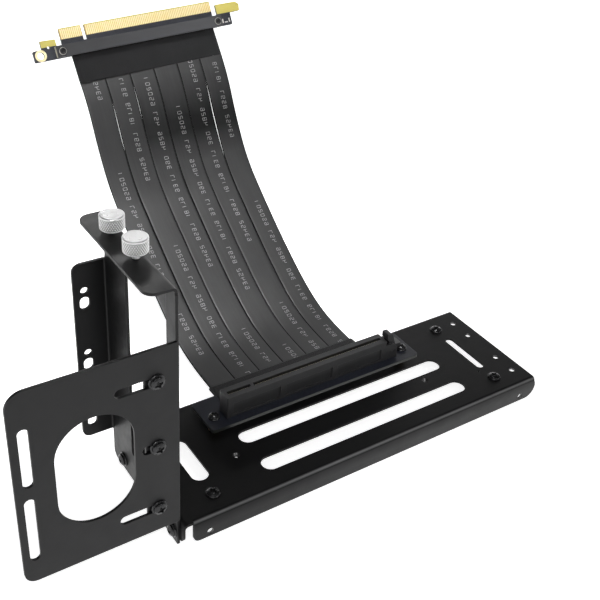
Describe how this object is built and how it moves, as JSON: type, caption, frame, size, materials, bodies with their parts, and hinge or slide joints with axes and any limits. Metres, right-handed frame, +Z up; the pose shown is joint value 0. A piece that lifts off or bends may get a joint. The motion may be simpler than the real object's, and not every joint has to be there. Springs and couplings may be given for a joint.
{
  "type": "graphics card support bracket",
  "caption": "Folded black steel stand with an upright slot frame, a sliding case plate, thumbscrews and a flat riser cable that holds a graphics card upright in a computer case.",
  "frame": {"origin": "bottom centre of the bracket's box without its riser cable, on the surface it stands on", "axes": "+X along the base from the upright slot frame to the open end, +Y from the case plate's side to the side where the cable leaves, +Z up"},
  "size_m": [0.261, 0.2225, 0.1472],
  "materials": {
    "black_coat": "fine matte black powder coat on folded steel sheet",
    "black_screw": "black zinc-plated steel, slightly glossy",
    "bright_nickel": "bright nickel plate, turned top, knurled rim",
    "board": "black circuit board laminate with green-brown edge zones",
    "socket_plastic": "moulded black plastic",
    "gold": "gold plate over copper",
    "spacer_brass": "turned brass",
    "cloth_tape": "woven black cloth tape",
    "cable_jacket": "satin dark grey cable jacket",
    "bar_plastic": "dark blue-grey moulded bar",
    "rivet_steel": "rolled steel rivet"
  },
  "bodies": {
    "bracket": {"base_plate": "black_coat", "base_screws": "black_screw", "io_frame": "black_coat", "frame_screws": "black_screw", "case_plate_screws": "black_screw", "riser_board": "board", "riser_socket": "socket_plastic", "riser_contacts": "gold", "riser_spacers": "spacer_brass", "riser_screws": "black_screw", "riser_wrap": "cloth_tape", "ribbon_1": "cable_jacket", "ribbon_2": "cable_jacket", "ribbon_3": "cable_jacket", "ribbon_4": "cable_jacket", "ribbon_5": "cable_jacket", "ribbon_6": "cable_jacket", "plug_wrap": "cloth_tape", "plug_board": "board", "plug_contacts": "gold", "plug_eyelet": "gold", "plug_cover_front": "bar_plastic", "plug_cover_rear": "bar_plastic", "plug_rivets": "rivet_steel"},
    "case_plate": {"case_plate": "black_coat"},
    "front_thumbscrew": {"thumbscrew_front": "bright_nickel"},
    "rear_thumbscrew": {"thumbscrew_rear": "bright_nickel"},
    "latch": {"riser_latch": "socket_plastic"}
  },
  "joints": [
    {"name": "case_plate_slide", "type": "slide", "parent": "bracket", "child": "case_plate", "axis": [1, 0, 0], "range_m": [-0.0005, 0.0042]},
    {"name": "front_thumbscrew_turn", "type": "hinge", "parent": "bracket", "child": "front_thumbscrew", "pos_m": [-0.07173, -0.00585, 0.126], "axis": [0, 0, 1], "continuous": true},
    {"name": "rear_thumbscrew_turn", "type": "hinge", "parent": "bracket", "child": "rear_thumbscrew", "pos_m": [-0.07173, 0.01445, 0.126], "axis": [0, 0, 1], "continuous": true},
    {"name": "latch_hinge", "type": "hinge", "parent": "bracket", "child": "latch", "pos_m": [0.06967, 0.01285, 0.022], "axis": [0, 1, 0], "range_deg": [0, 20]}
  ]
}
